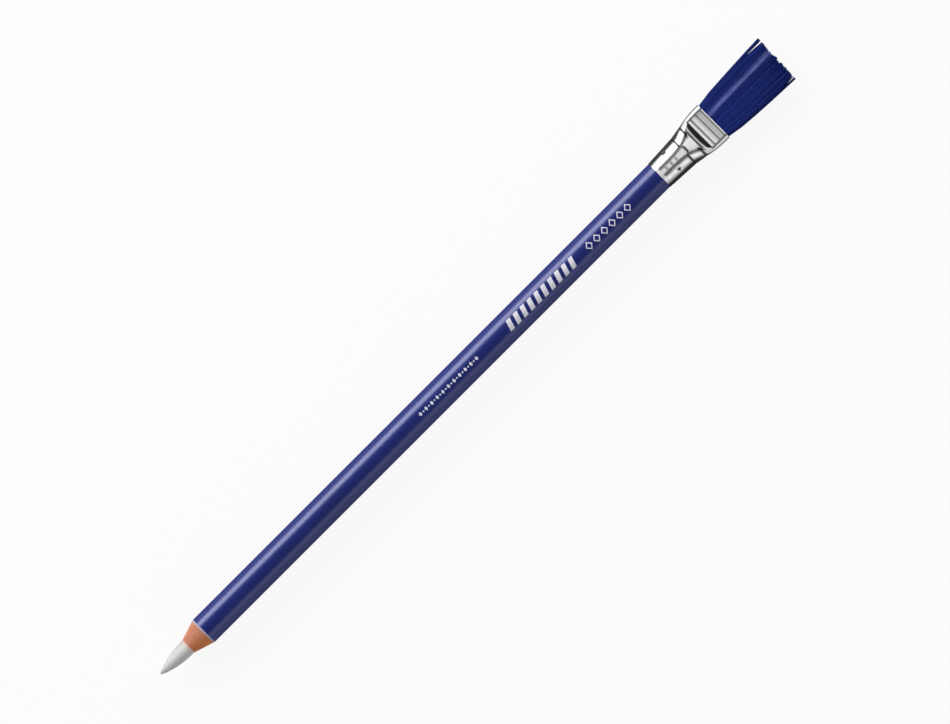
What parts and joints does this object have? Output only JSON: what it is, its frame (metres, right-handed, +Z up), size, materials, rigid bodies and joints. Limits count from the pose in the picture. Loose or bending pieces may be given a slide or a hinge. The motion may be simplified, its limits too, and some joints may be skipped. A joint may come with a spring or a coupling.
{
  "type": "eraser pencil",
  "caption": "Round wooden eraser pencil: rounded eraser core in a sharpened end, dark blue lacquered barrel, and a flat blue brush held in a pressed silver ferrule.",
  "frame": {"origin": "on the table, under the middle of the pencil's length", "axes": "+X along the pencil towards the brush, +Z up, with the brush's wide face level"},
  "size_m": [0.2035, 0.013, 0.0075],
  "materials": {
    "eraser": "matt, slightly dusty",
    "bare_wood": "cut across the grain by a sharpener",
    "blue_lacquer": "smooth glossy lacquer",
    "bright_sheet": "bright rolled sheet",
    "blue_bristle": "semi-matt filament",
    "cement": "set glue",
    "white_foil": "hot-stamped foil"
  },
  "bodies": {
    "root": {"eraser_core": "eraser", "casing_upper": "bare_wood", "casing_lower": "bare_wood", "lacquer_coat": "blue_lacquer", "ferrule": "bright_sheet", "bristles": "blue_bristle", "root_cement": "cement"}
  },
  "joints": []
}
